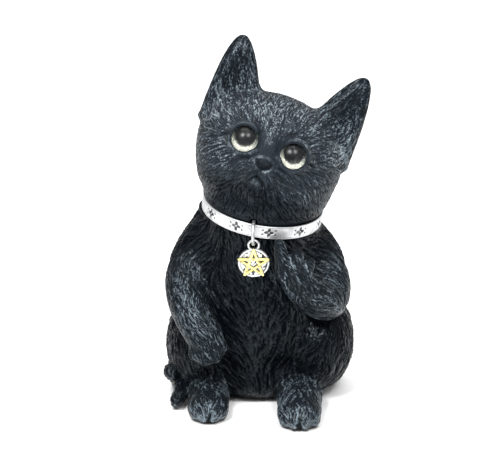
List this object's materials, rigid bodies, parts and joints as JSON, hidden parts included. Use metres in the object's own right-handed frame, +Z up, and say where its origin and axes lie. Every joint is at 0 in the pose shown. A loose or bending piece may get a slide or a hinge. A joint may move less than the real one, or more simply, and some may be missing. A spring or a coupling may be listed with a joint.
{
  "type": "cat figurine",
  "caption": "Seated kitten figurine with tilted head, glass eyes, one raised forepaw, carved fur, a metal collar band and a round star charm swinging from a jump ring.",
  "frame": {"origin": "centre of the bounding box in plan, on the surface the felt pads stand on", "axes": "+Z up, the kitten faces -Y, its own left side is +X"},
  "size_m": [0.0556, 0.0606, 0.0969],
  "materials": {
    "black_body": "satin bluish black with grey brushed over the raised fur",
    "brushed_black_head": "satin black, more strongly brushed with grey",
    "eye_glass": "clear polished dome",
    "iris_paint": "pale grey-green painted iris with a black pupil",
    "silver": "bright silver plate",
    "gold": "worn gold plate",
    "felt": "black felt"
  },
  "bodies": {
    "figure": {"torso_shell": "black_body", "head_shell": "brushed_black_head", "left_ear": "brushed_black_head", "right_ear": "brushed_black_head", "raised_foreleg": "black_body", "lowered_foreleg": "black_body", "left_hind_foot": "black_body", "right_hind_foot": "black_body", "tail": "black_body", "left_eye_glass": "eye_glass", "right_eye_glass": "eye_glass", "left_eye_iris": "iris_paint", "right_eye_iris": "iris_paint", "collar_band": "silver", "felt_pad_front_left": "felt", "felt_pad_front_right": "felt", "felt_pad_rear_left": "felt", "felt_pad_rear_right": "felt"},
    "ring": {"jump_ring": "silver"},
    "charm": {"charm_disc": "silver", "charm_star": "gold"}
  },
  "joints": [
    {"name": "ring_swing", "type": "hinge", "parent": "figure", "child": "ring", "pos_m": [-0.00398, -0.01073, 0.05242], "axis": [-1, 0, 0], "range_deg": [0, 35]},
    {"name": "charm_sway", "type": "hinge", "parent": "ring", "child": "charm", "pos_m": [-0.00398, -0.01073, 0.04715], "axis": [0, 1, 0], "range_deg": [-12, 35]}
  ]
}
